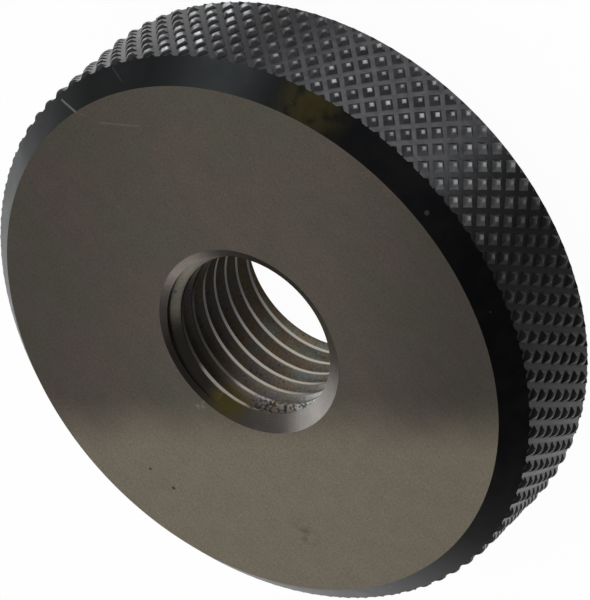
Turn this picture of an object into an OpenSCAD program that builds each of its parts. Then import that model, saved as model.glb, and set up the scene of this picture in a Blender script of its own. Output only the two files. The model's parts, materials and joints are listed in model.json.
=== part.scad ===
// Solid thread ring gauge: one hardened steel disc, turned and ground, with a
// threaded bore, a lead-in cone at each mouth, a 45 degree chamfer on each rim
// edge and a diamond knurl between the chamfers.
// Millimetres. +Z is the bore axis, and the origin is the centre of the lower face.

/* [Ring] */
// Outside diameter over the tips of the knurl
ring_d = 38; // [35:0.5:42]
// Thickness between the two ground faces
ring_t = 9.7; // [8.5:0.1:11]
// Width and height of the chamfer on both rim edges
rim_chamfer = 1.6; // [1:0.1:2.2]

/* [Threaded bore] */
// Nominal diameter of the thread
thread_d = 12; // [8:0.5:14]
// Pitch of the thread
thread_pitch = 1.25; // [0.75:0.05:2]
// Diameter of the lead-in cone where it meets a ground face
lead_in_d = 12.7; // [12.4:0.1:15]
// Included angle of the lead-in cone
lead_in_angle = 120; // [90:5:130]

/* [Knurl] */
// Spacing of the knurl teeth around the rim
knurl_pitch = 1.36; // [1.3:0.02:2]
// Depth of the knurl below its tips
knurl_depth = 0.26; // [0.2:0.02:0.5]
// Width of the flat floor of each groove
groove_floor = 0.28; // [0.2:0.02:0.5]
// Angle between the rim's axis and the grooves that climb to the left
climb_left = 38.5; // [28:0.5:45]
// Angle between the rim's axis and the grooves that climb to the right
climb_right = 31.5; // [28:0.5:45]
// Turn of the knurl about the axis, in degrees
knurl_turn = 2.4; // [0:0.1:4]

/* [Hidden] */
$fn = 144;

// Height of the basic thread profile that is left out at the minor diameter
minor_factor = 1.0825;
minor_d = thread_d - minor_factor * thread_pitch;
face_r = ring_d / 2 - rim_chamfer;
tip_r = ring_d / 2;
floor_r = tip_r - knurl_depth;
lead_in_depth = (lead_in_d - minor_d) / 2 / tan(lead_in_angle / 2);

// The knurl is a lattice of two groove families. u counts the grooves of one
// family and v those of the other, and a tooth fills each cell between them.
teeth = round(PI * ring_d / knurl_pitch);
tooth_arc = PI * ring_d / teeth;
rise_u = tan(climb_left) / tooth_arc;
rise_v = tan(climb_right) / tooth_arc;
row_step = 1 / (rise_u + rise_v);
half_rows = ceil((ring_t / 2 - rim_chamfer + knurl_depth) / row_step);
// Half the groove floor as a share of a cell, across the grooves
floor_u = groove_floor / 2 / (tooth_arc * cos(climb_left));
floor_v = groove_floor / 2 / (tooth_arc * cos(climb_right));
// How far the knurled form runs past each ground face before it is trimmed
overrun = 2 * row_step + 1;
// Room left outside the tips, so that the blank's rim never meets them
tip_room = 0.5;

// A point of the knurl at the lattice place u, v and the radius r
function lattice_z(u, v) = ring_t / 2 + (u - v) * row_step;
function lattice_turn(u, v) =
    knurl_turn + 360 * (u - rise_u * (u - v) * row_step) / teeth;
function at(turn, r, z) = [r * cos(turn), r * sin(turn), z];
function knurl_point(u, v, r) = at(lattice_turn(u, v), r, lattice_z(u, v));

// One tooth, in column k of row m, fills the lattice cell from u = k + m and v = k.
// Its points are the left, upper, right and lower corners on the groove floor, and the tip.
LEFT = 0;
UPPER = 1;
RIGHT = 2;
LOWER = 3;
TIP = 4;
function tooth_points(m, k) = let (u = k + m, v = k) [
    knurl_point(u + floor_u, v + floor_v, floor_r),
    knurl_point(u + 1 - floor_u, v + floor_v, floor_r),
    knurl_point(u + 1 - floor_u, v + 1 - floor_v, floor_r),
    knurl_point(u + floor_u, v + 1 - floor_v, floor_r),
    knurl_point(u + 0.5, v + 0.5, tip_r)
];

// The number that a tooth's point has in the whole list of points
function wrap(k) = (k + teeth) % teeth;
function nr(m, k, corner) = 5 * ((m + half_rows) * teeth + wrap(k)) + corner;

// Four flanks that meet at the tip
function flanks(m, k) = [
    [nr(m, k, LEFT), nr(m, k, UPPER), nr(m, k, TIP)],
    [nr(m, k, UPPER), nr(m, k, RIGHT), nr(m, k, TIP)],
    [nr(m, k, RIGHT), nr(m, k, LOWER), nr(m, k, TIP)],
    [nr(m, k, LOWER), nr(m, k, LEFT), nr(m, k, TIP)]
];

// Groove floor between a tooth and its neighbours at the lower left and the upper left
function floor_below(m, k) =
    [nr(m - 1, k, UPPER), nr(m, k, LEFT), nr(m, k, LOWER), nr(m - 1, k, RIGHT)];
function floor_above(m, k) =
    [nr(m + 1, k - 1, LOWER), nr(m + 1, k - 1, RIGHT), nr(m, k, UPPER), nr(m, k, LEFT)];
// Floor where two grooves cross, at the left corner of a tooth
function crossing(m, k) =
    [nr(m, k - 1, RIGHT), nr(m + 1, k - 1, LOWER), nr(m, k, LEFT), nr(m - 1, k, UPPER)];

// The end rings lie beyond the ground faces, with three points for each tooth
END_CORNERS = [[LEFT, LOWER, RIGHT], [LEFT, UPPER, RIGHT]];
ring_start = 5 * (2 * half_rows + 1) * teeth;
function ring_nr(end, k, i) = ring_start + 3 * (end * teeth + wrap(k)) + i;
function end_row(end) = end == 0 ? -half_rows : half_rows;
function end_z(end) = end == 0 ? -overrun : ring_t + overrun;
function ring_points(end, k) = [for (i = [0:2])
    let (p = tooth_points(end_row(end), k)[END_CORNERS[end][i]])
    [p.x, p.y, end_z(end)]];
function flip(face, turned) = turned ? [for (i = [len(face) - 1:-1:0]) face[i]] : face;
// Walls from the last row of teeth to the end ring, and the floor at the last crossing
function end_walls(end, k) = let (m = end_row(end), c = END_CORNERS[end]) [for (face = [
    [nr(m, k, c[0]), ring_nr(end, k, 0), ring_nr(end, k, 1), nr(m, k, c[1])],
    [nr(m, k, c[1]), ring_nr(end, k, 1), ring_nr(end, k, 2), nr(m, k, c[2])],
    [nr(m, k, c[2]), ring_nr(end, k, 2), ring_nr(end, k + 1, 0), nr(m, k + 1, c[0])],
    [nr(m, k, c[2]), nr(m, k + 1, c[0]),
     end == 0 ? nr(m + 1, k, LOWER) : nr(m - 1, k + 1, UPPER)]
]) flip(face, end == 0)];
function end_cap(end) = flip(
    [for (k = [0:teeth - 1], i = [0:2]) ring_nr(end, k, i)], end == 1);

// Solid with the knurl on its whole outside, longer than the ring
module knurled_form() {
    rows = [-half_rows:half_rows];
    columns = [0:teeth - 1];
    points = [
        for (m = rows, k = columns) each tooth_points(m, k),
        for (end = [0:1], k = columns) each ring_points(end, k)
    ];
    faces = [
        for (m = rows, k = columns) each flanks(m, k),
        for (m = rows, k = columns) if (m > -half_rows) floor_below(m, k),
        for (m = rows, k = columns) if (m < half_rows) floor_above(m, k),
        for (m = rows, k = columns) if (abs(m) < half_rows) crossing(m, k),
        for (end = [0:1], k = columns) each end_walls(end, k),
        for (end = [0:1]) end_cap(end)
    ];
    polyhedron(points, faces, convexity = 4);
}

// Turned blank: the two ground faces and the rim chamfers
module turned_blank() {
    rotate_extrude()
        polygon([
            [0, 0], [face_r, 0],
            [tip_r + tip_room, rim_chamfer + tip_room],
            [tip_r + tip_room, ring_t - rim_chamfer - tip_room],
            [face_r, ring_t], [0, ring_t]
        ]);
}

// Bore at the thread's minor diameter, with a lead-in cone at each mouth
module bore() {
    cut = 1;
    flare = cut * tan(lead_in_angle / 2);
    rotate_extrude()
        polygon([
            [0, -cut], [lead_in_d / 2 + flare, -cut],
            [minor_d / 2, lead_in_depth], [minor_d / 2, ring_t - lead_in_depth],
            [lead_in_d / 2 + flare, ring_t + cut], [0, ring_t + cut]
        ]);
}

module ring_gauge() {
    color("dimgray") difference() {
        intersection() {
            turned_blank();
            knurled_form();
        }
        bore();
    }
}

ring_gauge();
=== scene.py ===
"""Visual model of a solid thread ring gauge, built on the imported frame."""

import json
import logging
import math
import random
from contextlib import contextmanager
from dataclasses import dataclass
from enum import Enum
from functools import cached_property
from typing import Callable, Iterator

import bmesh
import bpy
from mathutils import Matrix, Vector


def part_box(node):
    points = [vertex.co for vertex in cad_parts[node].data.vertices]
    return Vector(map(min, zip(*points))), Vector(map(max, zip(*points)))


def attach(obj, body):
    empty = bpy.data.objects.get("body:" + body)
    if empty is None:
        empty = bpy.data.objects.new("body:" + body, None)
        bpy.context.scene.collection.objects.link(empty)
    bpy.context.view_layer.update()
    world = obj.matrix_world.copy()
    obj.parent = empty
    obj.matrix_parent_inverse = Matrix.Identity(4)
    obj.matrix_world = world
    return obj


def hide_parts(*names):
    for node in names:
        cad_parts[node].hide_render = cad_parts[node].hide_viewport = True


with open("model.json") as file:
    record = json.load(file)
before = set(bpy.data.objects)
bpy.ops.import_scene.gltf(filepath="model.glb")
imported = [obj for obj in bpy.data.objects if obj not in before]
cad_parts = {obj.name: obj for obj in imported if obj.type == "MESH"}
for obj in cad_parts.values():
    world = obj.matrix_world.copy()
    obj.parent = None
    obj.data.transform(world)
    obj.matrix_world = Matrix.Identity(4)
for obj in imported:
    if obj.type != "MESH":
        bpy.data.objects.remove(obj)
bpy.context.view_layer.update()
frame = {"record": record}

Colour = tuple[float, float, float]
Place = tuple[float, float, float]
# A fade says where it is empty and where full, a span where a plateau starts, is full, starts
# to fall and ends. One more number is the strength in full, which is 1 without it.
Fade = tuple[float, ...]
Span = tuple[float, ...]

LOG = logging.getLogger("ring_gauge")
MM = 0.001
FULL_TURN = 2 * math.pi
WELD = 0.0001 * MM
NOISE_SHIFT = Vector((1.0, 0.7, 0.3))
SPECK_SHIFT = Vector((1.0, 0.6, 0.2))
MIX_LOW, MIX_HIGH, MIX_RESULT = 6, 7, 2  # the colour sockets of a Mix node
NODE = "ring_gauge"


@dataclass(frozen=True)
class RingSizes:
    """The gauge's sizes in metres, taken from the frame where the frame holds them."""

    outside_r: float
    thickness: float
    minor_r: float
    rim_chamfer: float = 1.6 * MM
    thread_pitch: float = 1.25 * MM
    thread_r: float = 6.0 * MM
    lead_in_r: float = 6.35 * MM
    lead_in_half_angle: float = math.radians(60)

    @property
    def face_r(self) -> float:
        """Radius of the flat ground faces."""
        return self.outside_r - self.rim_chamfer

    @property
    def lead_in_depth(self) -> float:
        """Depth of the lead-in cone, from the ground face to the minor diameter."""
        return (self.lead_in_r - self.minor_r) / math.tan(self.lead_in_half_angle)

    @classmethod
    def from_frame(cls) -> "RingSizes":
        """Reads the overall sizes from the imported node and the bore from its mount.

        Returns:
            The sizes of the ring that was packed.
        """
        low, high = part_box(NODE)
        thread = next(m for m in frame["record"]["mounts"] if m["name"] == "thread")
        return cls(
            outside_r=(high[0] - low[0]) / 2,
            thickness=high[2] - low[2],
            minor_r=thread["dims"]["r_mm"] * MM,
        )


def make_active(obj: bpy.types.Object) -> None:
    """Selects one object alone and makes it the active one.

    Args:
        obj: The object to work on next.
    """
    bpy.ops.object.select_all(action="DESELECT")
    obj.select_set(True)
    bpy.context.view_layer.objects.active = obj


@contextmanager
def editing(obj: bpy.types.Object) -> Iterator[bmesh.types.BMesh]:
    """Opens an object in edit mode and closes it again.

    Args:
        obj: The mesh object to edit.

    Yields:
        The edit mesh, for selecting by place.
    """
    make_active(obj)
    bpy.ops.object.mode_set(mode="EDIT")
    try:
        yield bmesh.from_edit_mesh(obj.data)
    finally:
        bpy.ops.object.mode_set(mode="OBJECT")


def select_verts(
    obj: bpy.types.Object, mesh: bmesh.types.BMesh, test: Callable[[Vector], bool]
) -> None:
    """Selects the vertices whose place passes a test, with the edges and faces between them.

    Args:
        obj: The object in edit mode.
        mesh: Its edit mesh.
        test: Says whether a place is selected.
    """
    bpy.ops.mesh.select_mode(type="VERT")
    bpy.ops.mesh.select_all(action="DESELECT")
    for vert in mesh.verts:
        vert.select_set(test(vert.co))
    mesh.select_flush(True)
    bmesh.update_edit_mesh(obj.data)


def select_edges(
    obj: bpy.types.Object, mesh: bmesh.types.BMesh, test: Callable[[bmesh.types.BMEdge], bool]
) -> None:
    """Selects the edges that pass a test.

    Args:
        obj: The object in edit mode.
        mesh: Its edit mesh.
        test: Says whether an edge is selected.
    """
    bpy.ops.mesh.select_mode(type="EDGE")
    bpy.ops.mesh.select_all(action="DESELECT")
    for edge in mesh.edges:
        edge.select_set(test(edge))
    bmesh.update_edit_mesh(obj.data)


def apply_modifier(obj: bpy.types.Object, kind: str, **settings: object) -> None:
    """Adds a modifier, sets it and applies it.

    Args:
        obj: The object that gets the modifier.
        kind: Blender's type of modifier.
        **settings: The modifier's own settings.
    """
    make_active(obj)
    modifier = obj.modifiers.new(kind.title(), kind)
    for name, value in settings.items():
        setattr(modifier, name, value)
    bpy.ops.object.modifier_apply(modifier=modifier.name)


def clear_faces() -> None:
    """Deletes the faces of the mesh in edit mode and keeps their outlines."""
    bpy.ops.mesh.select_all(action="SELECT")
    bpy.ops.mesh.delete(type="ONLY_FACE")


def weld(distance: float) -> None:
    """Welds the vertices of the mesh in edit mode.

    Args:
        distance: How near two vertices are to become one.
    """
    bpy.ops.mesh.select_all(action="SELECT")
    bpy.ops.mesh.remove_doubles(threshold=distance)


def face_outward() -> None:
    """Turns every normal of the mesh in edit mode outward."""
    bpy.ops.mesh.select_all(action="SELECT")
    bpy.ops.mesh.normals_make_consistent(inside=False)


class Operation(Enum):
    """What a tool solid does to the solid that it meets."""

    KEEP_INSIDE = "INTERSECT"
    CUT_AWAY = "DIFFERENCE"


def work(obj: bpy.types.Object, tool: bpy.types.Object, operation: Operation) -> None:
    """Runs a boolean with a tool solid and removes the tool.

    Args:
        obj: The solid that is kept.
        tool: The solid that works on it.
        operation: What the tool does.
    """
    apply_modifier(obj, "BOOLEAN", operation=operation.value, solver="MANIFOLD", object=tool)
    bpy.data.objects.remove(tool, do_unlink=True)


@dataclass(frozen=True)
class TurnedBlank:
    """The disc as it leaves the lathe: bored, chamfered and faced."""

    sizes: RingSizes
    steps: int = 480
    tip_room: float = 0.5 * MM

    @property
    def outer(self) -> float:
        """Radius of the blank, with room outside the rim for the knurl."""
        return self.sizes.outside_r + self.tip_room

    def build(self) -> bpy.types.Object:
        """Draws half of the cross-section and spins it round the bore axis.

        Returns:
            The closed blank.
        """
        blank = self.section()
        with editing(blank):
            clear_faces()
            bpy.ops.mesh.select_all(action="SELECT")
            bpy.ops.mesh.spin(steps=self.steps, angle=FULL_TURN, center=(0, 0, 0), axis=(0, 0, 1))
            weld(WELD)
            face_outward()
        return blank

    def section(self) -> bpy.types.Object:
        """Draws the cross-section as a plate with its corners bevelled.

        Returns:
            The flat plate, in the XZ plane.
        """
        s = self.sizes
        middle_r = (s.minor_r + self.outer) / 2
        bpy.ops.mesh.primitive_plane_add(
            size=1, location=(middle_r, 0, s.thickness / 2), rotation=(math.pi / 2, 0, 0)
        )
        plate = bpy.context.object
        plate.name = NODE + "_visual"
        plate.scale = (self.outer - s.minor_r, s.thickness, 1)
        bpy.ops.object.transform_apply(location=True, rotation=True, scale=True)
        with editing(plate) as mesh:
            select_verts(plate, mesh, lambda co: co.x > middle_r)
            self.bevel_corners(s.rim_chamfer + self.tip_room)
            select_verts(plate, mesh, lambda co: co.x < s.minor_r + WELD)
            self.bevel_corners(s.lead_in_r - s.minor_r)
        self.flatten_lead_in(plate)
        return plate

    @staticmethod
    def bevel_corners(offset: float) -> None:
        """Bevels the selected corners of the cross-section.

        Args:
            offset: Width of the bevel on each side.
        """
        bpy.ops.mesh.bevel(offset=offset, offset_type="OFFSET", affect="VERTICES")

    def flatten_lead_in(self, plate: bpy.types.Object) -> None:
        """Moves the bevels at the bore from 45 degrees to the lead-in cone's own angle.

        Args:
            plate: The bevelled cross-section.
        """
        s = self.sizes
        lift = (s.lead_in_r - s.minor_r) - s.lead_in_depth
        for upper in (True, False):
            with editing(plate) as mesh:
                select_verts(
                    plate, mesh,
                    lambda co: co.x < s.minor_r + WELD and (co.z > s.thickness / 2) == upper,
                )
                bpy.ops.transform.translate(value=(0, 0, lift if upper else -lift))


@dataclass(frozen=True)
class Knurl:
    """Diamond knurl: two families of grooves that leave a pyramid in each cell.

    The profile lists the tooth's worn steps, each a width as a share of the cell and a
    height as a share of the depth. The cell weld is a share of the cell too.
    """

    sizes: RingSizes
    teeth: int = 88
    climb_left: float = math.radians(38.5)
    climb_right: float = math.radians(31.5)
    turn: float = math.radians(2.4)
    depth: float = 0.26 * MM
    groove_floor: float = 0.28 * MM
    profile: tuple[tuple[float, float], ...] = ((0.42, 0.62), (0.24, 0.87), (0.10, 0.97))
    wear: tuple[float, float] = (0.90, 1.03)
    weld: float = 0.002 * MM
    cell_weld: float = 0.001
    overrun: float = 2 * MM
    seed: int = 7

    @property
    def tooth_arc(self) -> float:
        """Distance between two teeth round the rim."""
        return FULL_TURN * self.sizes.outside_r / self.teeth

    @property
    def rise_left(self) -> float:
        """How many grooves of the left family a metre of height crosses."""
        return math.tan(self.climb_left) / self.tooth_arc

    @property
    def rise_right(self) -> float:
        """How many grooves of the right family a metre of height crosses."""
        return math.tan(self.climb_right) / self.tooth_arc

    @property
    def row_step(self) -> float:
        """Height from one crossing of two grooves to the next one up."""
        return 1 / (self.rise_left + self.rise_right)

    @property
    def half_rows(self) -> int:
        """Rows of cells on each side of the middle."""
        reach = self.sizes.thickness / 2 - self.sizes.rim_chamfer + 2 * self.depth
        return math.ceil(reach / self.row_step)

    def build(self) -> bpy.types.Object:
        """Models one tooth, repeats it over the rim and closes the form at both ends.

        Returns:
            A solid that is longer than the ring, knurled all over its outside.
        """
        form = self.tooth()
        self.repeat(form, 2 * self.half_rows + 1, (1, 0, 0))
        self.repeat(form, self.teeth, (1, 1, 0))
        self.wrap(form)
        self.close(form)
        return form

    def tooth(self) -> bpy.types.Object:
        """Models one cell of the lattice, with its worn pyramid, on a unit square.

        Returns:
            The cell, with its height as a share of the depth.
        """
        bpy.ops.mesh.primitive_plane_add(size=1, location=(0.5, 0.5, 0))
        cell = bpy.context.object
        cell.name = "knurl_form"
        bpy.ops.object.transform_apply(location=True, rotation=True, scale=True)
        floor = self.groove_floor / 2 / (self.tooth_arc * math.cos(self.climb_left))
        with editing(cell):
            bpy.ops.mesh.select_all(action="SELECT")
            bpy.ops.mesh.inset(thickness=floor)
            width, level = 1 - 2 * floor, 0.0
            for next_width, next_level in self.profile:
                bpy.ops.mesh.extrude_region_move(
                    TRANSFORM_OT_translate={"value": (0, 0, next_level - level)}
                )
                share = next_width / width
                bpy.ops.transform.resize(
                    value=(share, share, 1), center_override=(0.5, 0.5, next_level)
                )
                width, level = next_width, next_level
        return cell

    def repeat(self, form: bpy.types.Object, count: int, step: Place) -> None:
        """Repeats the cells in a row and welds them.

        Args:
            form: The cells so far.
            count: How often they are laid down.
            step: The way from one copy to the next, in cells.
        """
        apply_modifier(
            form, "ARRAY", count=count, use_relative_offset=False, use_constant_offset=True,
            constant_offset_displace=step, use_merge_vertices=True, merge_threshold=self.cell_weld,
        )

    def wrap(self, form: bpy.types.Object) -> None:
        """Lays the flat lattice round the rim and wears each tooth a little differently.

        Args:
            form: The repeated cells, flat.
        """
        chance = random.Random(self.seed)
        worn: dict[tuple[int, int], float] = {}
        floor_r = self.sizes.outside_r - self.depth
        for vert in form.data.vertices:
            left, right, height = vert.co
            rise = left - right - self.half_rows
            along = left - self.half_rows - self.rise_left * rise * self.row_step
            turn = self.turn + FULL_TURN * along / self.teeth
            if height > 0:
                cell = (math.floor(left), math.floor(right))
                if cell not in worn:
                    worn[cell] = chance.uniform(*self.wear)
                height *= worn[cell]
            r = floor_r + height * self.depth
            z = self.sizes.thickness / 2 + rise * self.row_step
            vert.co = (r * math.cos(turn), r * math.sin(turn), z)

    def close(self, form: bpy.types.Object) -> None:
        """Joins the seam, runs both ends past the ground faces and caps them.

        Args:
            form: The wrapped lattice.
        """
        middle = self.sizes.thickness / 2
        overrun = 2 * self.row_step + self.overrun
        with editing(form):
            weld(self.weld)
        for upper in (True, False):
            level = self.sizes.thickness + overrun if upper else -overrun
            with editing(form) as mesh:
                select_edges(
                    form, mesh,
                    lambda edge: edge.is_boundary and (edge.verts[0].co.z > middle) == upper,
                )
                bpy.ops.mesh.extrude_edges_move(TRANSFORM_OT_translate={"value": (0, 0, 0)})
                bpy.ops.transform.resize(value=(1, 1, 0), center_override=(0, 0, level))
                bpy.ops.mesh.edge_face_add()
        with editing(form):
            face_outward()


@dataclass(frozen=True)
class ThreadCut:
    """The helical groove of a single-start right-hand thread with a 60 degree profile.

    The first crest's height holds on the side away from the camera, at +Y.
    """

    sizes: RingSizes
    steps_per_turn: int = 160
    first_crest: float = -0.796 * MM
    inner_room: float = 0.4 * MM
    root_share: float = 1 / 8
    crest_share: float = 0.19
    spare_turns: int = 3

    def build(self) -> bpy.types.Object:
        """Sweeps the groove's section along the helix, past both ground faces.

        Returns:
            The closed helical solid that is cut out of the bore.
        """
        s = self.sizes
        groove = self.section()
        with editing(groove):
            clear_faces()
        apply_modifier(
            groove, "SCREW", axis="Z", angle=FULL_TURN, screw_offset=s.thread_pitch,
            iterations=math.ceil(s.thickness / s.thread_pitch) + self.spare_turns,
            steps=self.steps_per_turn, render_steps=self.steps_per_turn, use_smooth_shade=False,
        )
        with editing(groove):
            weld(WELD)
            bpy.ops.mesh.select_mode(type="EDGE")
            bpy.ops.mesh.select_all(action="DESELECT")
            bpy.ops.mesh.select_non_manifold()
            bpy.ops.mesh.fill_holes(sides=0)
            face_outward()
        return groove

    def section(self) -> bpy.types.Object:
        """Draws the groove's section: a straight neck inside the bore and a V outside it.

        Returns:
            The flat section in the XZ plane, below the lower ground face.
        """
        s = self.sizes
        mouth = s.thread_pitch * (1 - self.crest_share)
        crest_at_x = s.thickness + self.first_crest - s.thread_pitch / 4
        turns_down = math.ceil(s.thickness / s.thread_pitch) + 1
        z = crest_at_x - (turns_down + 0.5) * s.thread_pitch
        bpy.ops.mesh.primitive_plane_add(
            size=1, location=(s.minor_r - self.inner_room / 2, 0, z), rotation=(math.pi / 2, 0, 0)
        )
        plate = bpy.context.object
        plate.name = "thread_groove"
        plate.scale = (self.inner_room, mouth, 1)
        bpy.ops.object.transform_apply(location=True, rotation=True, scale=True)
        with editing(plate) as mesh:
            select_verts(plate, mesh, lambda co: co.x > s.minor_r - self.inner_room / 2)
            bpy.ops.mesh.extrude_region_move(
                TRANSFORM_OT_translate={"value": (s.thread_r - s.minor_r, 0, 0)}
            )
            narrowing = self.root_share / (1 - self.crest_share)
            bpy.ops.transform.resize(value=(1, 1, narrowing), center_override=(s.thread_r, 0, z))
            select_verts(plate, mesh, lambda co: abs(co.x - s.minor_r) < WELD)
            bpy.ops.mesh.dissolve_edges(use_verts=False)
        return plate


def arithmetic(operation: str, swapped: bool = False) -> Callable[..., "Value"]:
    """Makes a method that turns an arithmetic sign into a Math node.

    Args:
        operation: Blender's name of the operation.
        swapped: Whether the other operand comes first.

    Returns:
        The method.
    """

    def method(value: "Value", other: "Value | float") -> "Value":
        """Adds the Math node.

        Args:
            value: The operand that the method belongs to.
            other: The other operand.

        Returns:
            The node's output.
        """
        operands = (other, value) if swapped else (value, other)
        return value.graph.math(operation, *operands)

    return method


class Value:
    """A node's output that arithmetic can be written with."""

    def __init__(self, graph: "Graph", node: bpy.types.Node, output: str | int) -> None:
        """Keeps the node, which of its outputs is meant, and the graph.

        Args:
            graph: The graph that new nodes are added to.
            node: The node.
            output: Name or number of the output.
        """
        self.graph = graph
        self.node = node
        self.output = output

    @property
    def socket(self) -> bpy.types.NodeSocket:
        """The output's socket."""
        return self.node.outputs[self.output]

    __add__ = arithmetic("ADD")
    __radd__ = arithmetic("ADD", swapped=True)
    __sub__ = arithmetic("SUBTRACT")
    __rsub__ = arithmetic("SUBTRACT", swapped=True)
    __mul__ = arithmetic("MULTIPLY")
    __truediv__ = arithmetic("DIVIDE")
    __pow__ = arithmetic("POWER")
    __lt__ = arithmetic("LESS_THAN")
    __gt__ = arithmetic("GREATER_THAN")

    def ramp(self, empty: float, full: float, strength: float = 1.0) -> "Value":
        """Turns a range into a soft step up from 0.

        Args:
            empty: Value at which the step is 0.
            full: Value at which it is full; it may lie below the other.
            strength: What it is in full.

        Returns:
            The soft step.
        """
        inputs = {
            "Value": self, "From Min": empty, "From Max": full,
            "To Min": 0.0, "To Max": strength,
        }
        return self.graph.node("ShaderNodeMapRange", {"interpolation_type": "SMOOTHSTEP"}, inputs)

    def within(
        self, start: float, rise_end: float, fall_start: float, end: float,
        strength: float = 1.0,
    ) -> "Value":
        """Turns a range into a soft plateau.

        Args:
            start: Value at which it leaves 0.
            rise_end: Value at which it is full.
            fall_start: Value at which it starts to fall.
            end: Value at which it is back at 0.
            strength: What it is in full.

        Returns:
            The plateau.
        """
        return self.ramp(start, rise_end) * self.ramp(end, fall_start, strength)


def around_one(value: Value, most: float) -> Value:
    """Lifts a value that runs from 0 to a top, so that it lies as far below 1 as above it.

    Args:
        value: The value.
        most: Its top.

    Returns:
        The value with its middle at 1.
    """
    return value + (1.0 - most / 2)


@dataclass(frozen=True)
class Spot:
    """A soft round mark: its X and Y, its depth below the upper face and its radius, in mm."""

    centre: Place
    radius: float
    full_share: float = 0.5
    strength: float = 1.0


@dataclass(frozen=True)
class Scratch:
    """A thin straight mark, with its ends given as a spot's centre is, and its strength."""

    start: Place
    end: Place
    width: float = 0.09
    strength: float = 1.0
    full_share: float = 0.3


@dataclass(frozen=True)
class Specks:
    """Scattered round specks: cells a millimetre, radius and share of the cells that hold one."""

    scale: float
    size: float
    share: float
    shift: float
    strength: float = 1.0
    full_share: float = 0.4


@dataclass(frozen=True)
class Cloud:
    """Cloudy noise: cells a millimetre, finer layers, the pattern's shift and its stretch."""

    scale: float
    detail: float
    shift: float
    stretch: Place = (1.0, 1.0, 1.0)


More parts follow.
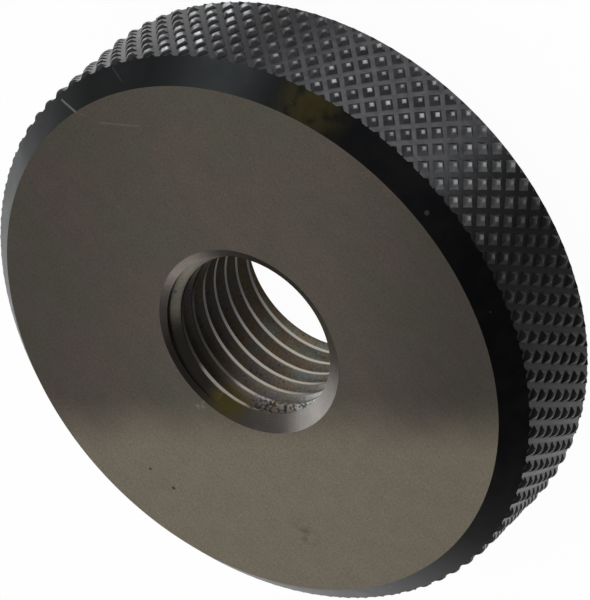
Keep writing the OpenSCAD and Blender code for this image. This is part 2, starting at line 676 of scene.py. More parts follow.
class Graph:
    """The node tree of one material, with the ring's own coordinates in millimetres."""

    def __init__(self, name: str, top: float = 0.0) -> None:
        """Starts a material with an empty tree.

        Args:
            name: The material's name.
            top: Height of the upper face, in metres.
        """
        self.material = bpy.data.materials.new(name)
        self.material.use_nodes = True
        self.tree = self.material.node_tree
        self.tree.nodes.clear()
        self.top = top / MM

    def node(
        self, kind: str, settings: dict[str, object] | None = None,
        inputs: dict[str | int, object] | None = None, output: str | int = 0,
    ) -> Value:
        """Adds any node, sets it and connects it.

        Args:
            kind: Blender's type of node.
            settings: The node's own settings.
            inputs: What each input gets, a constant or the output of another node.
            output: The output that is wanted.

        Returns:
            That output.
        """
        made = self.tree.nodes.new(kind)
        for name, value in (settings or {}).items():
            setattr(made, name, value)
        for key, value in (inputs or {}).items():
            if isinstance(value, Value):
                self.tree.links.new(value.socket, made.inputs[key])
            else:
                made.inputs[key].default_value = value
        return Value(self, made, output)

    def math(self, operation: str, *inputs: "Value | float") -> Value:
        """Adds a Math node.

        Args:
            operation: Blender's name of the operation.
            *inputs: Its inputs in order.

        Returns:
            The node's output.
        """
        return self.node("ShaderNodeMath", {"operation": operation}, dict(enumerate(inputs)))

    def vector(
        self, operation: str, inputs: dict[str | int, object], output: str | int = 0
    ) -> Value:
        """Adds a Vector Math node.

        Args:
            operation: Blender's name of the operation.
            inputs: What each input gets.
            output: The output that is wanted.

        Returns:
            That output.
        """
        return self.node("ShaderNodeVectorMath", {"operation": operation}, inputs, output)

    @cached_property
    def place(self) -> Value:
        """The place on the ring."""
        place = self.node("ShaderNodeTexCoord", output="Object")
        return self.vector("SCALE", {0: place, "Scale": 1 / MM})

    def axis(self, name: str) -> Value:
        """Reads the place along one axis.

        Args:
            name: The axis.

        Returns:
            The distance along it.
        """
        return self.node("ShaderNodeSeparateXYZ", inputs={0: self.place}, output=name)

    @cached_property
    def x(self) -> Value:
        """The place along X."""
        return self.axis("X")

    @cached_property
    def y(self) -> Value:
        """The place along Y."""
        return self.axis("Y")

    @cached_property
    def below(self) -> Value:
        """The depth below the upper face."""
        return self.top - self.axis("Z")

    @cached_property
    def r(self) -> Value:
        """The distance from the bore's axis."""
        return (self.x * self.x + self.y * self.y) ** 0.5

    @cached_property
    def turn(self) -> Value:
        """The angle round the axis, in radians from +X."""
        return self.math("ARCTAN2", self.y, self.x)

    def along(self, way: Place) -> Value:
        """Measures the place along a direction.

        Args:
            way: The direction.

        Returns:
            The distance from the axis that way.
        """
        return self.vector("DOT_PRODUCT", {0: self.place, 1: way}, "Value")

    def mix(self, share: "Value | float", low: Value | Colour, high: Value | Colour) -> Value:
        """Mixes two colours.

        Args:
            share: How much of the second colour shows.
            low: The first colour.
            high: The second colour.

        Returns:
            The mixed colour.
        """
        low, high = (c if isinstance(c, Value) else (*c, 1.0) for c in (low, high))
        inputs = {0: share, MIX_LOW: low, MIX_HIGH: high}
        return self.node("ShaderNodeMix", {"data_type": "RGBA"}, inputs, MIX_RESULT)

    def shade(self, colour: Value, amount: Value) -> Value:
        """Multiplies a colour by a plain number.

        Args:
            colour: The colour.
            amount: The number.

        Returns:
            The darker or lighter colour.
        """
        return self.vector("SCALE", {0: colour, "Scale": amount})

    def noise(self, cloud: Cloud) -> Value:
        """Adds cloudy noise.

        Args:
            cloud: What it is like.

        Returns:
            The noise, about 0 to 1.
        """
        shift = cloud.shift * NOISE_SHIFT
        inputs = {0: self.place, "Scale": cloud.stretch, "Location": shift}
        place = self.node("ShaderNodeMapping", inputs=inputs)
        inputs = {"Vector": place, "Scale": cloud.scale, "Detail": cloud.detail}
        return self.node("ShaderNodeTexNoise", inputs=inputs, output="Fac")

    def specks(self, specks: Specks) -> Value:
        """Scatters small round specks.

        Args:
            specks: How they are scattered.

        Returns:
            Their strength on a speck and 0 elsewhere.
        """
        shift = specks.shift * SPECK_SHIFT
        place = self.node("ShaderNodeMapping", inputs={0: self.place, "Location": shift})
        inputs = {"Vector": place, "Scale": specks.scale}
        near = self.node("ShaderNodeTexVoronoi", inputs=inputs, output="Distance")
        tint = self.node("ShaderNodeTexVoronoi", inputs=inputs, output="Color")
        chance = self.node("ShaderNodeSeparateColor", inputs={0: tint})
        full = specks.size * specks.full_share
        return near.ramp(specks.size, full, specks.strength) * (chance < specks.share)

    def spot(self, spot: Spot) -> Value:
        """Marks a soft round area.

        Args:
            spot: Its place and size.

        Returns:
            Its strength inside and 0 outside.
        """
        x, y, below = spot.centre
        away = self.vector("DISTANCE", {0: self.place, 1: (x, y, self.top - below)}, "Value")
        return away.ramp(spot.radius, spot.radius * spot.full_share, spot.strength)

    def scratch(self, scratch: Scratch) -> Value:
        """Marks a thin straight line.

        Args:
            scratch: Its ends, width and strength.

        Returns:
            Its strength on the line and 0 beside it.
        """
        (x, y, below), (end_x, end_y, end_below) = scratch.start, scratch.end
        way = Vector((end_x - x, end_y - y, below - end_below))
        away = self.vector("SUBTRACT", {0: self.place, 1: (x, y, self.top - below)})
        reach = self.vector("DOT_PRODUCT", {0: away, 1: way / way.length_squared}, "Value")
        reach = self.node("ShaderNodeClamp", inputs={0: reach})
        nearest = self.vector("SCALE", {0: tuple(way), "Scale": reach})
        miss = self.vector("DISTANCE", {0: away, 1: nearest}, "Value")
        return miss.ramp(scratch.width, scratch.width * scratch.full_share, scratch.strength)

    def finish(
        self, colour: Value, rough: "Value | float", height: Value, depth: float,
        metallic: float = 1.0,
    ) -> bpy.types.Material:
        """Closes the tree with one metal shader.

        Args:
            colour: Base colour.
            rough: Roughness.
            height: Relief for the bump.
            depth: Depth of the relief, in millimetres.
            metallic: Share of bare metal; the rest scatters light as a fine grind does.

        Returns:
            The finished material.
        """
        bump = {"Strength": 1.0, "Distance": depth * MM, "Height": height}
        inputs = {
            "Base Color": colour, "Roughness": rough, "Metallic": metallic,
            "Normal": self.node("ShaderNodeBump", inputs=bump),
        }
        return self.close(self.node("ShaderNodeBsdfPrincipled", inputs=inputs))

    def close(self, shader: Value) -> bpy.types.Material:
        """Connects the shader to the material's output.

        Args:
            shader: The shader.

        Returns:
            The finished material.
        """
        self.node("ShaderNodeOutputMaterial", inputs={"Surface": shader})
        return self.material


@dataclass(frozen=True)
class GroundSteel:
    """Ground tool steel: broad mottling, fine grain, a lighter half that is a painted reflection,
    painted shade towards two sides, specks, pits, scratches.
    """

    name: str = "ground_steel"
    greenish: Colour = (0.126, 0.116, 0.090)
    reddish: Colour = (0.142, 0.112, 0.095)
    # Colour of the painted reflection that makes one half of the face lighter.
    lighter: Colour = (0.268, 0.233, 0.176)
    speck: Colour = (0.31, 0.29, 0.26)
    rubbed: Colour = (0.34, 0.31, 0.26)
    scratched: Colour = (0.26, 0.23, 0.19)
    pitted: Colour = (0.02, 0.016, 0.012)
    stained: Colour = (0.136, 0.093, 0.056)
    rough: float = 0.34
    rough_share: float = 0.10
    metallic: float = 0.5
    relief: float = 0.004
    mottling: Cloud = Cloud(0.22, 3, 11)
    mottled: Fade = (0.35, 0.7)
    # Where the painted reflection lies: its direction, its soft edge and how that edge wobbles.
    to_painted_light: Place = (-0.836, 0.549, 0.0)
    painted_light_edge: Fade = (5.0, 9.5)
    painted_light_wander: Cloud = Cloud(0.16, 2, 3)
    painted_light_wobble: float = 3.0
    # Painted shade: the face darkens towards two sides, less inside the painted reflection.
    painted_face_shade_way: Place = (0.68, 0.517, 0.0)
    painted_face_shade_left: Fade = (2.0, 15.0, 0.28)
    painted_face_shade_right: Fade = (-3.0, -14.0, 0.42)
    painted_light_keeps: float = 0.8
    fine_grain: Cloud = Cloud(11.0, 2, 14)
    grain: Cloud = Cloud(5.0, 4, 5)
    grain_share: float = 0.45
    lines: Cloud = Cloud(1.6, 3, 8, (0.25, 6.0, 1.0))
    line_share: float = 0.15
    cloud: Cloud = Cloud(0.8, 4, 17)
    cloud_share: float = 0.2
    cloud_relief: float = 0.5
    rough_cloud: Cloud = Cloud(1.2, 3, 6)
    few_specks: Specks = Specks(0.9, 0.07, 0.12, 2, 0.55)
    many_specks: Specks = Specks(1.6, 0.10, 0.10, 7, 0.55)
    speckled_area: Spot = Spot((9.5, 12.0, 0.0), 6.0, 0.3)
    pits: tuple[Spot, ...] = (
        Spot((-3.45, 13.6, 0.0), 0.16, strength=0.8),
        Spot((-1.6, 13.95, 0.0), 0.13, strength=0.8),
    )
    rub: Spot = Spot((-0.73, 6.75, 0.0), 0.55, 0.2, 0.7)
    rub_cloud: Cloud = Cloud(4.0, 3, 9)
    rub_edge: Fade = (0.45, 0.6)
    stain: Spot = Spot((-10.9, 7.85, 0.0), 1.6, 0.1, 0.65)
    stain_cloud: Cloud = Cloud(1.2, 3, 4)
    stain_edge: Fade = (0.4, 0.7)
    scratches: tuple[Scratch, ...] = (
        Scratch((15.7, -3.5, 0.0), (13.9, -5.7, 0.0), strength=0.3),
        Scratch((17.4, -2.4, 0.0), (16.6, -3.0, 0.0), strength=0.2),
    )

    def material(self, sizes: RingSizes) -> bpy.types.Material:
        """Makes the material.

        Args:
            sizes: The ring's sizes.

        Returns:
            The material.
        """
        g = Graph(self.name, sizes.thickness)
        # Painted reflection: one half of the face is mixed towards a lighter colour.
        painted_light_wobble = g.noise(self.painted_light_wander) * self.painted_light_wobble
        lighter = (g.along(self.to_painted_light) + painted_light_wobble).ramp(*self.painted_light_edge)
        mottled = g.noise(self.mottling).ramp(*self.mottled)
        colour = g.mix(mottled, self.greenish, self.reddish)
        colour = g.mix(lighter, colour, self.lighter)
        # Painted shade towards two sides of the face, kept off where the painted reflection lies.
        aside = g.along(self.painted_face_shade_way)
        darker = aside.ramp(*self.painted_face_shade_right) + aside.ramp(*self.painted_face_shade_left)
        colour = g.shade(colour, 1.0 - darker * (1.0 - lighter * self.painted_light_keeps))
        grain, cloud, lines = g.noise(self.grain), g.noise(self.cloud), g.noise(self.lines)
        grains = g.noise(self.fine_grain) + grain * self.grain_share + lines * self.line_share
        colour = g.shade(colour, around_one(grains, 1 + self.grain_share + self.line_share))
        colour = g.shade(colour, around_one(cloud * self.cloud_share, self.cloud_share))
        colour = self.marks(g, colour)
        rough = self.rough + g.noise(self.rough_cloud) * self.rough_share
        height = grain + cloud * self.cloud_relief
        return g.finish(colour, rough, height, self.relief, self.metallic)

    def marks(self, g: Graph, colour: Value) -> Value:
        """Lays the specks, pits, scratches and stains over the steel.

        Args:
            g: The material's graph.
            colour: Its colour so far.

        Returns:
            The marked colour.
        """
        light = g.specks(self.many_specks) * g.spot(self.speckled_area) + g.specks(self.few_specks)
        colour = g.mix(light, colour, self.speck)
        colour = g.mix(sum(g.spot(pit) for pit in self.pits), colour, self.pitted)
        rub = g.spot(self.rub) * g.noise(self.rub_cloud).ramp(*self.rub_edge)
        colour = g.mix(rub, colour, self.rubbed)
        scratched = sum(g.scratch(scratch) for scratch in self.scratches)
        colour = g.mix(scratched, colour, self.scratched)
        stain = g.spot(self.stain) * g.noise(self.stain_cloud).ramp(*self.stain_edge)
        return g.mix(stain, colour, self.stained)


@dataclass(frozen=True)
class BlackenedChamfer:
    """Blackened turned chamfer: painted shade in places and a painted reflection on one side,
    with a stain, scratches and nicks.
    """

    name: str = "blackened_chamfer"
    black: Colour = (0.040, 0.041, 0.046)
    cloudy: Colour = (0.052, 0.050, 0.052)
    # Colour of the painted reflection: a lighter, bluer tone on the +X side of the chamfer.
    painted_reflection_blue: Colour = (0.064, 0.068, 0.069)
    stained: Colour = (0.25, 0.20, 0.08)
    bare: Colour = (0.30, 0.29, 0.27)
    edge: Colour = (0.22, 0.21, 0.21)
    rough: float = 0.30
    rough_share: float = 0.12
    relief: float = 0.003
    cloud: Cloud = Cloud(0.9, 3, 21)
    cloud_edge: Fade = (0.35, 0.7)
    grain: Cloud = Cloud(4.0, 3, 2)
    # Where the painted reflection on the +X side fades in.
    painted_reflection_side: Fade = (1.0, 13.0)
    # Painted shade at three spans round the rim, where the chamfer is darkened.
    painted_shade_left: Span = (-0.42, -0.22, 0.17, 0.28, 0.66)
    painted_shade_far: Fade = (1.6, 2.0, 0.60)
    painted_shade_near: Fade = (-2.75, -3.05, 0.60)
    stain: Spot = Spot((7.6, -16.6, 0.8), 2.9, 0.2, 0.8)
    stain_cloud: Cloud = Cloud(0.9, 2, 1)
    stain_edge: Fade = (0.30, 0.55)
    nick: Spot = Spot((-1.57, -17.8, 0.5), 0.20, 0.3)
    nicks: Specks = Specks(1.3, 0.10, 0.08, 13)
    barest: float = 0.8
    scratches: tuple[Scratch, ...] = (
        Scratch((18.4, -1.4, 1.0), (17.1, -2.7, -0.1)),
        Scratch((17.6, -6.2, 1.3), (16.5, -6.8, 0.4), 0.06, 0.35),
    )
    rubbed_edge: Fade = (-0.25, -0.02, 0.35)

    def material(self, sizes: RingSizes) -> bpy.types.Material:
        """Makes the material.

        Args:
            sizes: The ring's sizes.

        Returns:
            The material.
        """
        g = Graph(self.name, sizes.thickness)
        cloud = g.noise(self.cloud)
        colour = g.mix(cloud.ramp(*self.cloud_edge), self.black, self.cloudy)
        # Painted reflection: the chamfer is lighter and bluer towards +X.
        colour = g.mix(g.x.ramp(*self.painted_reflection_side), colour, self.painted_reflection_blue)
        # Painted shade: the colour is darkened at three spans round the rim.
        oil = g.turn.within(*self.painted_shade_left)
        oil = oil + g.turn.ramp(*self.painted_shade_far) + g.turn.ramp(*self.painted_shade_near)
        colour = g.shade(colour, 1.0 - oil)
        stain = g.spot(self.stain) * g.noise(self.stain_cloud).ramp(*self.stain_edge)
        colour = g.mix(stain, colour, self.stained)
        bare = g.specks(self.nicks) + g.spot(self.nick)
        bare = bare + sum(g.scratch(scratch) for scratch in self.scratches)
        colour = g.mix(g.math("MINIMUM", bare, self.barest), colour, self.bare)
        from_rim = g.r - sizes.outside_r / MM
        colour = g.mix(from_rim.ramp(*self.rubbed_edge), colour, self.edge)
        rough = self.rough + cloud * self.rough_share
        return g.finish(colour, rough, g.noise(self.grain), self.relief)


@dataclass(frozen=True)
class BlackenedKnurl:
    """Blackened knurl: floors with painted light and shade, dark pyramids, worn tips with a
    painted highlight, painted glints and a few bare teeth.

    The spans are angles round the rim: where it is worn, and where painted light, glints and
    shade lie on it. The heights are shares of the knurl's depth.
    """

    name: str = "blackened_knurl"
    black: Colour = (0.032, 0.031, 0.034)
    cloudy: Colour = (0.052, 0.051, 0.056)
    # Groove floors: painted shade in most places, painted light where they would reflect the white
    # floor.
    painted_shade_floor: Colour = (0.020, 0.020, 0.022)
    painted_lit_floor: Colour = (0.105, 0.106, 0.112)
    worn: Colour = (0.100, 0.102, 0.102)
    # Colour of the painted glints on a few teeth along one span of the rim.
    painted_glint: Colour = (0.94, 0.98, 1.00)
    # Tips: lighter worn metal and partly a painted highlight.
    worn_tip_and_highlight: Colour = (0.50, 0.51, 0.52)
    bare: Colour = (0.70, 0.70, 0.72)
    rough: float = 0.24
    rough_share: float = 0.15
    rubbed_smooth: float = 0.1
    relief: float = 0.004
    cloud: Cloud = Cloud(0.7, 3, 31)
    cloud_edge: Fade = (0.3, 0.7)
    grain: Cloud = Cloud(6.0, 3, 12)
    grime: Cloud = Cloud(2.0, 4, 33)
    grime_share: float = 1.08
    # Spans of the painted light on the groove floors.
    painted_floor_light: Span = (-1.75, -1.45, -1.20, -0.75)
    painted_floor_light_end: Span = (-3.13, -2.85, -2.8, -2.5, 0.30)
    worn_part: Span = (-2.02, -1.74, -1.62, -1.45)
    # Span, cloud and edge of the painted glints.
    painted_glint_span: Span = (-0.74, -0.64, -0.54, -0.44)
    painted_glint_cloud: Cloud = Cloud(1.1, 2, 29)
    painted_glint_edge: Fade = (0.38, 0.54)
    # Span in painted shade where the tips get no painted highlight.
    no_tip_highlight_span: Span = (-3.13, -2.85, -2.05, -1.70, 0.8)
    rub_cloud: Cloud = Cloud(0.16, 2, 37)
    rub_edge: Fade = (0.35, 0.65, 0.55)
    least_rub: float = 0.45
    # Painted shade over one span of the rim, patchy through the cloud.
    painted_shade_span: Span = (-3.13, -2.85, -1.92, -1.66)
    painted_shade_end: Fade = (-2.25, -2.65, 0.25)
    painted_shade_share: float = 0.55
    painted_shade_cloud_share: float = 0.26
    floor_height: Fade = (0.16, 0.02)
    flank_height: Fade = (0.45, 0.85)
    tip_height: Fade = (0.74, 1.0)
    bare_height: Fade = (0.75, 0.9)
    bare_teeth: Specks = Specks(0.9, 0.30, 0.05, 8, 0.6)

    def material(self, sizes: RingSizes, knurl: Knurl) -> bpy.types.Material:
        """Makes the material.

        Args:
            sizes: The ring's sizes.
            knurl: The knurl that it lies on.

        Returns:
            The material.
        """
        g = Graph(self.name, sizes.thickness)
        height = (g.r - (sizes.outside_r - knurl.depth) / MM) / (knurl.depth / MM)
        cloud = g.noise(self.cloud)
        colour = g.mix(cloud.ramp(*self.cloud_edge), self.black, self.cloudy)
        colour = g.mix(g.turn.within(*self.worn_part), colour, self.worn)
        # Painted light and shade on the groove floors, by angle round the rim.
        painted_floor_light = g.turn.within(*self.painted_floor_light) + g.turn.within(*self.painted_floor_light_end)
        floor = g.mix(painted_floor_light, self.painted_shade_floor, self.painted_lit_floor)
        colour = g.mix(height.ramp(*self.floor_height), colour, floor)
        # Painted glints on the upper flanks and tips along one span of the rim.
        painted_bright = g.turn.within(*self.painted_glint_span) * height.ramp(*self.flank_height)
        painted_bright = painted_bright * g.noise(self.painted_glint_cloud).ramp(*self.painted_glint_edge)
        colour = g.mix(painted_bright, colour, self.painted_glint)
        # Worn tips with a painted highlight, left out where the rim is in painted shade.
        rub = height.ramp(*self.tip_height) * (1.0 - g.turn.within(*self.no_tip_highlight_span))
        rub = rub * (self.least_rub + g.noise(self.rub_cloud).ramp(*self.rub_edge))
        colour = g.mix(rub, colour, self.worn_tip_and_highlight)
        bare = g.specks(self.bare_teeth) * height.ramp(*self.bare_height)
        colour = g.mix(bare, colour, self.bare)
        # Painted shade: the colour is darkened over one span of the rim.
        oil = g.turn.within(*self.painted_shade_span) * (1.0 - g.turn.ramp(*self.painted_shade_end))
        oil = oil * (self.painted_shade_share + cloud * self.painted_shade_cloud_share)
        colour = g.shade(colour, 1.0 - oil)
        grime = g.noise(self.grime) * self.grime_share
        colour = g.shade(colour, around_one(grime, self.grime_share))
        rough = self.rough + cloud * self.rough_share - rub * self.rubbed_smooth
        return g.finish(colour, rough, g.noise(self.grain), self.relief)


@dataclass(frozen=True)
class OilFilm:
    """The brown and olive film of oil over the mouth of the bore."""

    brown: Colour = (0.15, 0.125, 0.105)
    olive: Colour = (0.66, 0.52, 0.14)
    brown_area: Spot = Spot((1.4, 5.8, 0.5), 3.9, 0.35, 0.75)
    olive_area: Spot = Spot((-1.9, 5.3, 0.6), 1.9, 0.2, 0.8)

    def over(self, g: Graph, colour: Value) -> Value:
        """Lays the film over a colour.

        Args:
            g: The material's graph.
            colour: Its colour so far.

        Returns:
            The colour with the film.
        """
        colour = g.mix(g.spot(self.brown_area), colour, self.brown)
        return g.mix(g.spot(self.olive_area), colour, self.olive)


@dataclass(frozen=True)
class LeadInSteel:
    """Pale turned cone with fine turning lines."""

    name: str = "lead_in_steel"
    pale: Colour = (0.46, 0.42, 0.38)
    paler: Colour = (0.56, 0.50, 0.46)
    rough: float = 0.30
    relief: float = 0.004
    cloud: Cloud = Cloud(0.6, 3, 41)
    cloud_edge: Fade = (0.3, 0.7)
    grain: Cloud = Cloud(5.0, 4, 43)
    grain_share: float = 0.3
    lines_per_mm: float = 7.2
    line_wander: float = 6.0
    line_share: float = 0.07
    line_relief: float = 0.3
    tone: float = 0.82
    film: OilFilm = OilFilm()

    def material(self, sizes: RingSizes) -> bpy.types.Material:
        """Makes the material.

        Args:
            sizes: The ring's sizes.

        Returns:
            The material.
        """
        g = Graph(self.name, sizes.thickness)
        cloud, grain = g.noise(self.cloud), g.noise(self.grain)
        colour = g.mix(cloud.ramp(*self.cloud_edge), self.pale, self.paler)
        colour = self.film.over(g, colour)
        turns = g.r * (FULL_TURN * self.lines_per_mm) + cloud * self.line_wander
        lines = g.math("SINE", turns)
        tone = self.tone + grain * self.grain_share + lines * self.line_share
        colour = g.shade(colour, tone)
        return g.finish(colour, self.rough, grain + lines * self.line_relief, self.relief)


@dataclass(frozen=True)
class ThreadSteel:
    """Dark flanks with faint temper colours and with painted shade and light by side, and worn
    crests with a painted reflection on one side.

    The depths are below the upper face, in millimetres, and the spans without a depth in
    their name are angles round the bore.
    """

    name: str = "thread_steel"
    violet: Colour = (0.40, 0.37, 0.38)
    brown: Colour = (0.45, 0.38, 0.30)
    green: Colour = (0.42, 0.45, 0.42)
    grey: Colour = (0.60, 0.60, 0.57)
    pitted: Colour = (0.015, 0.012, 0.012)
    first_flank: Colour = (0.95, 0.95, 0.78)
    # Colour of the painted shadow in the thread's root near the mouth.
    root: Colour = (0.03, 0.03, 0.028)
    # Crests: painted dark or light by side, a painted reflection over the worn metal.
    dull_crest: Colour = (0.09, 0.09, 0.088)
    bright_crest: Colour = (0.72, 0.68, 0.59)
    torn: Colour = (0.03, 0.018, 0.014)
    rough: float = 0.30
    metallic: float = 0.68
    relief: float = 0.006
    temper: Cloud = Cloud(0.45, 3, 51)
    brown_edge: Fade = (0.35, 0.5)
    green_edge: Fade = (0.52, 0.68)
    grain: Cloud = Cloud(5.0, 3, 59)
    flank_grain: Cloud = Cloud(7.0, 3, 63)
    flank_tone: float = 0.45
    flank_grain_share: float = 0.95
    # Painted shade and light on the flanks: a darker tone, lifted on one side of the bore.
    painted_shade_tone: float = 0.68
    painted_light_gain: float = 1.2
    painted_light_side: Fade = (1.2, 2.2)
    painted_light_depth: Fade = (0.8, 1.4)
    grey_side: Fade = (2.3, 3.0)
    grey_share: float = 0.85
    # Side where the crests get the painted reflection.
    painted_crest_light_side: Fade = (0.9, 2.1)
    near_side: Fade = (-2.2, -3.0)
    pits: Specks = Specks(3.2, 0.30, 0.28, 53, 0.6)
    flank_span: Span = (-0.6, -0.2, 0.55, 0.95, 0.22)
    flank_depth: Fade = (1.0, 0.75)
    # Painted shade at the mouth of the bore on one span.
    painted_shade_mouth: Span = (0.6, 0.95, 1.75, 2.05, 0.62)
    painted_shade_mouth_depth: Fade = (1.45, 1.05)
    # Where the painted shadow in the root lies, and one more spot of it.
    painted_shadow_from_root: Fade = (-0.16, -0.07)
    painted_shadow_root_depth: Fade = (0.95, 0.75)
    painted_shadow_spot: Spot = Spot((5.37, 2.36, 0.8), 0.28)
    root_share: float = 0.9
    from_crest: Fade = (0.05, 0.015)
    crest_depth: float = 0.5
    tears: Cloud = Cloud(4.6, 3, 57)
    tear_edge: Fade = (0.46, 0.58)
    torn_share: float = 0.8
    torn_span: Span = (1.95, 2.3, 2.85, 3.12)
    torn_depth: Span = (0.4, 0.8, 2.2, 2.7)
    torn_crest: float = 0.72
    most_torn: float = 0.95
    dull_first: Fade = (1.50, 1.34)
    dull_first_depth: Fade = (1.5, 1.3)
    dull_second: Fade = (1.95, 1.70)
    dull_second_depth: Span = (1.3, 1.5, 2.5, 2.9)
    dull_end: Fade = (2.55, 2.95)
    dull_end_depth: Fade = (6.1, 5.1, 0.7)
    dull_share: float = 0.80
    film: OilFilm = OilFilm()

    def material(self, sizes: RingSizes) -> bpy.types.Material:
        """Makes the material.

        Args:
            sizes: The ring's sizes.

        Returns:
            The material.
        """
        g = Graph(self.name, sizes.thickness)
        colour = self.film.over(g, self.flanks(g, sizes))
        # Painted shade: the mouth of the bore is darkened on one span.
        mouth = g.turn.within(*self.painted_shade_mouth) * g.below.ramp(*self.painted_shade_mouth_depth)
        colour = g.shade(colour, 1.0 - mouth)
        torn_area = g.turn.within(*self.torn_span) * g.below.within(*self.torn_depth)
        torn = torn_area * g.noise(self.tears).ramp(*self.tear_edge)
        crest = (g.r - sizes.minor_r / MM).ramp(*self.from_crest) * (g.below > self.crest_depth)
        left = 1.0 - g.math("MINIMUM", torn + torn_area * self.torn_crest, self.most_torn)
        colour = g.mix(crest * left, colour, self.crests(g))
        colour = g.mix(torn * self.torn_share, colour, self.torn)
        return g.finish(colour, self.rough, g.noise(self.grain) + torn, self.relief, self.metallic)

    def flanks(self, g: Graph, sizes: RingSizes) -> Value:
        """Colours the flanks, which carry temper colours and pits, painted shade and light by
        side, and a painted shadow along the root at the mouth.

        Args:
            g: The material's graph.
            sizes: The ring's sizes.

        Returns:
            The colour.
        """
        temper = g.noise(self.temper)
        colour = g.mix(temper.ramp(*self.brown_edge), self.violet, self.brown)
        colour = g.mix(temper.ramp(*self.green_edge), colour, self.green)
        near = g.turn.ramp(*self.near_side)
        grey = g.turn.ramp(*self.grey_side) + near
        colour = g.mix(grey * self.grey_share, colour, self.grey)
        colour = g.mix(g.specks(self.pits), colour, self.pitted)
        # Painted light on one side of the bore and at the near side, over a painted shade tone.
        painted_light = (g.turn.ramp(*self.painted_light_side) + near) * g.below.ramp(*self.painted_light_depth)
        tone = self.flank_tone + g.noise(self.flank_grain) * self.flank_grain_share
        colour = g.shade(colour, tone * (self.painted_shade_tone + painted_light * self.painted_light_gain))
        first = g.turn.within(*self.flank_span) * g.below.ramp(*self.flank_depth)
        colour = g.mix(first, colour, self.first_flank)
        # Painted shadow along the thread's root near the mouth, and in one spot.
        root = (g.r - sizes.thread_r / MM).ramp(*self.painted_shadow_from_root) * g.below.ramp(*self.painted_shadow_root_depth)
        return g.mix((root + g.spot(self.painted_shadow_spot)) * self.root_share, colour, self.root)

    def crests(self, g: Graph) -> Value:
        """Colours the crests, painted light on two spans and dark elsewhere as a painted
        reflection, and duller at the first two turns and at the far end.

        Args:
            g: The material's graph.

        Returns:
            The colour.
        """
        near = g.turn.ramp(*self.near_side)
        # Painted reflection: the crests are light on two spans round the bore and dark elsewhere.
        painted_bright = g.turn.ramp(*self.painted_crest_light_side) + near
        colour = g.mix(painted_bright, self.dull_crest, self.bright_crest)
        dull = g.turn.ramp(*self.dull_first) * g.below.ramp(*self.dull_first_depth)
        dull = dull + g.turn.ramp(*self.dull_second) * g.below.within(*self.dull_second_depth)
        end = g.turn.ramp(*self.dull_end) + near
        dull = dull + end * g.below.ramp(*self.dull_end_depth)
        return g.shade(colour, 1.0 - dull * self.dull_share)


class Zone(Enum):
    """The differently finished zones of the ring, in the order of its material slots."""

    GROUND = 0
    CHAMFER = 1
    KNURL = 2
    LEAD_IN = 3
    THREAD = 4


@dataclass(frozen=True)
class RingFinishes:
    """Gives each zone of the ring its own finish."""

    sizes: RingSizes
    knurl: Knurl
    flat_room: float = 0.02 * MM
    chamfer_room: float = 0.03 * MM
    chamfer_slope: float = 0.6
    cone_room: float = 0.04 * MM
    cone_slope: float = 0.8
    smooth_angle: float = math.radians(24)

    def materials(self) -> dict[Zone, bpy.types.Material]:
        """Makes every material.

        Returns:
            The material of each zone.
        """
        return {
            Zone.GROUND: GroundSteel().material(self.sizes),
            Zone.CHAMFER: BlackenedChamfer().material(self.sizes),
            Zone.KNURL: BlackenedKnurl().material(self.sizes, self.knurl),
            Zone.LEAD_IN: LeadInSteel().material(self.sizes),
            Zone.THREAD: ThreadSteel().material(self.sizes),
        }

    def dress(self, ring: bpy.types.Object) -> None:
        """Gives each face the slot of its zone and keeps the edges between zones sharp.

        Args:
            ring: The finished solid.
        """
        materials = self.materials()
        ring.data.materials.clear()
        for zone in Zone:
            ring.data.materials.append(materials[zone])
        for face in ring.data.polygons:
            face.material_index = self.zone(face.center, face.normal).value
        make_active(ring)
        bpy.ops.object.shade_smooth_by_angle(angle=self.smooth_angle)
        with editing(ring) as mesh:
            select_edges(
                ring, mesh, lambda edge: len({face.material_index for face in edge.link_faces}) > 1
            )
            bpy.ops.mesh.mark_sharp()

    def zone(self, centre: Vector, normal: Vector) -> Zone:
        """Says which zone a face belongs to.

        Args:
            centre: The face's centre.
            normal: Its outward normal.

        Returns:
            The zone.
        """
        s = self.sizes
        r = centre.xy.length
        level = min(centre.z, s.thickness - centre.z)
        if level < self.flat_room:
            return Zone.GROUND
        if r > (s.minor_r + s.outside_r) / 2:
            near = abs(r - level - s.face_r) < self.chamfer_room
            return Zone.CHAMFER if near and abs(normal.z) > self.chamfer_slope else Zone.KNURL
        cone_r = s.lead_in_r - level * math.tan(s.lead_in_half_angle)
        near = abs(r - cone_r) < self.cone_room and level < s.lead_in_depth
        return Zone.LEAD_IN if near and abs(normal.z) > self.cone_slope else Zone.THREAD


@dataclass(frozen=True)
class SoftBox:
    """A square lamp that faces the ring from a direction, given in degrees."""

    name: str
    turn: float
    rise: float
    distance: float
    width: float
    height: float
    level: float
    colour: Colour
    mirrored: bool = True

    def place(self) -> None:
        """Adds the lamp, with a power that shows it at its level."""
        data = bpy.data.lights.new(self.name, "AREA")
        data.shape = "RECTANGLE"
        data.size = self.width
        data.size_y = self.height
        data.energy = self.level * math.pi * self.width * self.height
        data.color = self.colour
        lamp = bpy.data.objects.new(self.name, data)
        bpy.context.collection.objects.link(lamp)
        turn, rise = math.radians(self.turn), math.radians(self.rise)
        level = math.cos(rise)
        way = Vector((level * math.cos(turn), level * math.sin(turn), math.sin(rise)))
        lamp.visible_glossy = self.mirrored
        lamp.location = way * self.distance
        lamp.rotation_euler = way.to_track_quat("Z", "Y").to_euler()


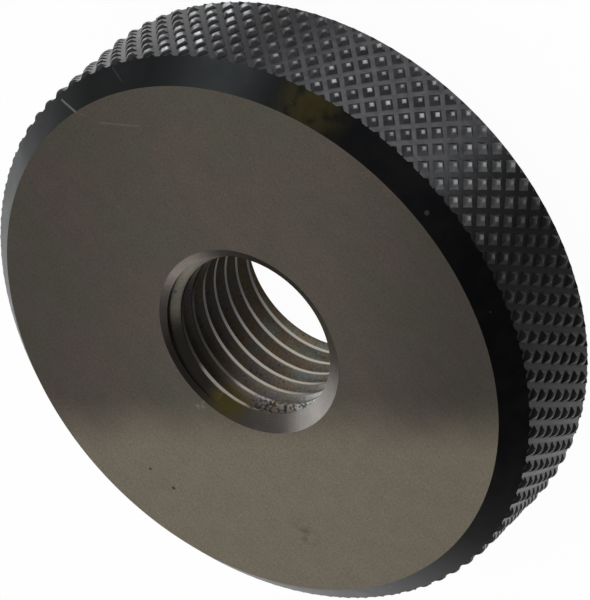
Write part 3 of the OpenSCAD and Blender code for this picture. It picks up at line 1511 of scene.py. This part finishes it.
@dataclass(frozen=True)
class Studio:
    """A pale floor, a dim room and soft lamps."""

    room: float = 0.055
    floor_colour: float = 0.93
    floor_size: float = 3.0
    floor_level: float = -0.02 * MM
    seen_white: float = 0.97
    mirrored_white: float = 0.6
    lamps: tuple[SoftBox, ...] = (
        SoftBox("left_box", 50, 23, 0.60, 0.48, 0.28, 0.80, (0.93, 0.97, 1.0)),
        SoftBox("right_box", 128, 26, 0.60, 0.30, 0.30, 0.42, (1.0, 0.97, 0.93)),
        SoftBox("back_box", 90, 48, 0.70, 0.45, 0.35, 0.50, (1.0, 0.98, 0.95)),
        SoftBox("front_box", -80, 17, 0.60, 0.36, 0.18, 1.5, (0.97, 0.99, 1.0)),
        SoftBox("side_box", -10, 33, 0.60, 0.20, 0.20, 1.20, (0.95, 0.98, 1.0)),
        SoftBox("top_box", 60, 72, 0.90, 0.70, 0.70, 3.2, (1.0, 1.0, 1.0), mirrored=False),
    )

    def build(self) -> None:
        """Adds the floor, the room's light and the lamps."""
        bpy.ops.mesh.primitive_plane_add(size=self.floor_size, location=(0, 0, self.floor_level))
        floor = bpy.context.object
        floor.name = "floor"
        bpy.ops.object.transform_apply(location=True, rotation=True, scale=True)
        floor.data.materials.append(self.floor_paper())
        world = bpy.data.worlds.new("studio")
        world.use_nodes = True
        world.node_tree.nodes["Background"].inputs["Color"].default_value = (*(self.room,) * 3, 1)
        bpy.context.scene.world = world
        for lamp in self.lamps:
            lamp.place()

    def floor_paper(self) -> bpy.types.Material:
        """Makes white paper that reads as white and still takes the ring's shadow.

        Returns:
            The material.
        """
        g = Graph("floor_paper")
        seen = g.node("ShaderNodeLightPath", output="Is Camera Ray") * self.seen_white
        mirrored = g.node("ShaderNodeLightPath", output="Is Glossy Ray") * self.mirrored_white
        share = g.math("MAXIMUM", seen, mirrored)
        paper = g.node("ShaderNodeBsdfDiffuse", inputs={"Color": (*(self.floor_colour,) * 3, 1)})
        glow = g.node("ShaderNodeEmission", inputs={"Color": (1, 1, 1, 1), "Strength": 1.0})
        return g.close(g.node("ShaderNodeMixShader", inputs={0: share, 1: paper, 2: glow}))


@dataclass(frozen=True)
class View:
    """The camera's place, worked out from the outline of the ring in its picture."""

    elevation: float = math.radians(44.9)
    roll: float = math.radians(132.917)
    distance: float = 409.85 * MM
    aim: Place = (-0.054 * MM, -5.373 * MM, 9.7 * MM)
    lens: float = 418.28
    sensor: float = 36.0

    def place(self) -> None:
        """Adds the camera and makes it the scene's."""
        camera = bpy.data.objects.new("Camera", bpy.data.cameras.new("Camera"))
        bpy.context.collection.objects.link(camera)
        forward = Vector((0, math.cos(self.elevation), -math.sin(self.elevation)))
        plain_up = Vector((0, math.sin(self.elevation), math.cos(self.elevation)))
        side = forward.cross(plain_up)
        up = math.cos(self.roll) * plain_up + math.sin(self.roll) * side
        right = forward.cross(up)
        turn = Matrix((right, up, -forward)).transposed().to_4x4()
        camera.matrix_world = Matrix.Translation(Vector(self.aim) - self.distance * forward) @ turn
        camera.data.sensor_fit = "HORIZONTAL"
        camera.data.sensor_width = self.sensor
        camera.data.lens = self.lens
        camera.data.clip_start = 1 * MM
        bpy.context.scene.camera = camera


@dataclass(frozen=True)
class RingGauge:
    """The whole gauge: blank, knurl, thread and finishes."""

    sizes: RingSizes

    def build(self) -> bpy.types.Object:
        """Models the gauge as one solid.

        Returns:
            The finished piece.
        """
        ring = TurnedBlank(self.sizes).build()
        knurl = Knurl(self.sizes)
        work(ring, knurl.build(), Operation.KEEP_INSIDE)
        work(ring, ThreadCut(self.sizes).build(), Operation.CUT_AWAY)
        RingFinishes(self.sizes, knurl).dress(ring)
        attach(ring, "root")
        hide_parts(NODE)
        return ring


def main() -> None:
    """Builds the gauge, the studio and the view."""
    logging.basicConfig(level=logging.INFO, format="%(name)s: %(message)s")
    ring = RingGauge(RingSizes.from_frame()).build()
    LOG.info("%s has %d faces", ring.name, len(ring.data.polygons))
    for zone in Zone:
        faces = sum(face.material_index == zone.value for face in ring.data.polygons)
        LOG.info("%d of them are %s", faces, zone.name.lower())
    Studio().build()
    View().place()
    bpy.context.scene.view_settings.view_transform = "Standard"


if __name__ == "__main__":
    main()
